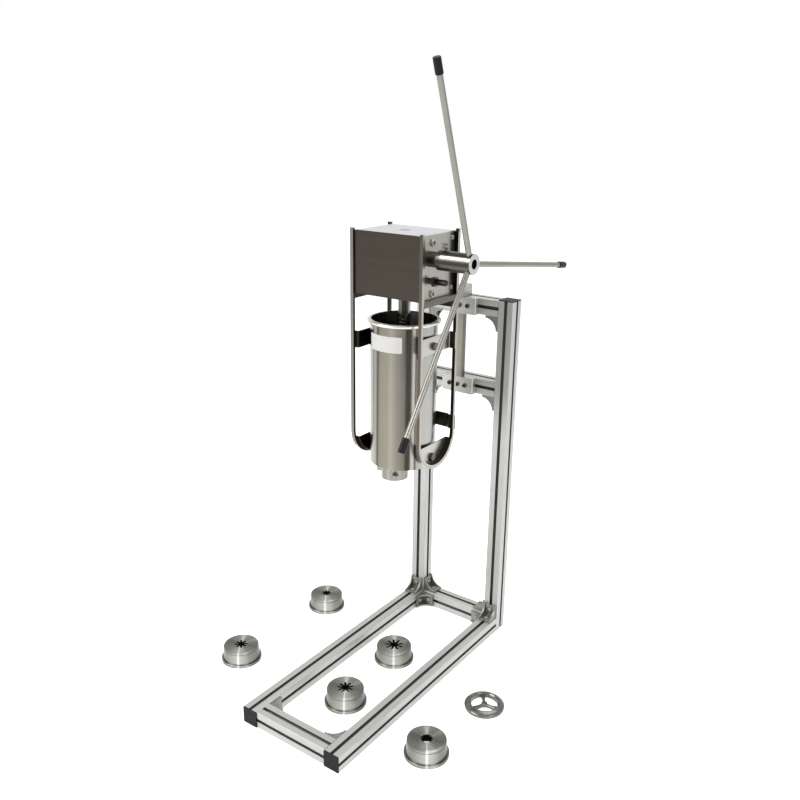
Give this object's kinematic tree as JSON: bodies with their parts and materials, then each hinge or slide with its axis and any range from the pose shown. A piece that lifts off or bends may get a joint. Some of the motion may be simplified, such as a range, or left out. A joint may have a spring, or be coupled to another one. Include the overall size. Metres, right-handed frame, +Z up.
{
  "type": "churro maker",
  "caption": "Lever-driven churro press: dough cylinder under a rack-and-pinion gearbox, held on a floor stand of slotted profile, with loose star nozzles.",
  "frame": {"origin": "on the floor under the middle of the stand's rear cross rail, at the mouth of that rail's lower slot", "axes": "+Z up, +X to the operator's right, towards the levers, -Y to the front"},
  "size_m": [0.681, 0.7862, 1.3984],
  "materials": {
    "profile": "natural anodised, satin",
    "cap": "fine grained black",
    "casting": "die cast, tumbled",
    "fastener": "bright zinc plated",
    "plate": "milled, satin",
    "bar": "brushed along the bar",
    "strap": "brushed, in shade",
    "sheet": "brushed stainless sheet",
    "shaft": "ground",
    "gear": "machine cut, oiled",
    "bearing": "turned, dark",
    "hub": "polished",
    "lever": "drawn bar, satin",
    "grip": "dipped black",
    "bush": "turned",
    "drum": "rolled sheet, satin",
    "piston": "turned food-grade nylon",
    "seal": "moulded",
    "ring": "cast and turned",
    "nozzle": "turned",
    "spring": "drawn wire",
    "plunger": "blackened"
  },
  "bodies": {
    "stand": {"base_rail_left": "profile", "base_rail_right": "profile", "base_cross_front": "profile", "base_cross_rear": "profile", "post_left": "profile", "post_right": "profile", "cross_rail_upper": "profile", "cross_rail_lower": "profile", "end_caps": "cap", "gussets": "casting", "gusset_bolts": "fastener", "slot_nuts": "fastener", "mount_bolts": "fastener", "cylinder_bolts": "fastener", "panel_screws": "fastener", "mount_block_upper": "plate", "mount_block_lower": "plate", "mount_column": "plate", "mount_arm": "plate", "u_frame_left": "bar", "u_frame_right": "bar", "rear_strap_lower": "strap", "rear_strap_upper": "strap", "side_plate_upper_left": "sheet", "side_plate_upper_right": "sheet", "side_plate_lower_left": "sheet", "side_plate_lower_right": "sheet", "gearbox_front": "sheet", "gearbox_back": "sheet", "gearbox_side_left": "sheet", "gearbox_side_right": "sheet", "gearbox_top": "sheet", "gearbox_bottom": "sheet", "shaft_keeper": "shaft", "shaft_bearings": "bearing", "guide_bushes": "bush", "cylinder": "drum", "spoke_ring": "ring", "nozzle_disc_one": "nozzle", "nozzle_disc_two": "nozzle", "nozzle_disc_three": "nozzle", "nozzle_disc_four": "nozzle", "nozzle_disc_five": "nozzle", "plunger_spring": "spring", "plunger_body": "plunger"},
    "drive": {"drive_shaft": "shaft", "pinion": "gear", "lever_hub": "hub", "hub_screw": "fastener", "lever_one": "lever", "lever_two": "lever", "lever_three": "lever", "lever_grips": "grip"},
    "rack": {"rack_rod": "gear", "piston_disc": "piston", "piston_seal": "seal", "piston_nut": "fastener"},
    "plunger": {"plunger_pin": "plunger"},
    "outlet": {"outlet_ring": "ring", "fitted_die": "nozzle"}
  },
  "joints": [
    {"name": "lever_turn", "type": "hinge", "parent": "stand", "child": "drive", "pos_m": [0, -0.295, 1.016], "axis": [1, 0, 0], "range_deg": [0, 789]},
    {"name": "rack_lift", "type": "slide", "parent": "stand", "child": "rack", "axis": [0, 0, 1], "range_m": [0, 0.31]},
    {"name": "plunger_pull", "type": "slide", "parent": "stand", "child": "plunger", "axis": [1, 0, 0], "range_m": [0, 0.008], "stiffness_N_per_m": 800, "springref_m": -0.004, "deforming": ["plunger_spring"]},
    {"name": "ring_turn", "type": "hinge", "parent": "stand", "child": "outlet", "pos_m": [0, -0.295, 0.52], "axis": [0, 0, 1], "range_deg": [-45, 0]}
  ],
  "couplings": [
    {"joint": "rack_lift", "follows": "lever_turn", "m_per_rad": 0.0225}
  ]
}
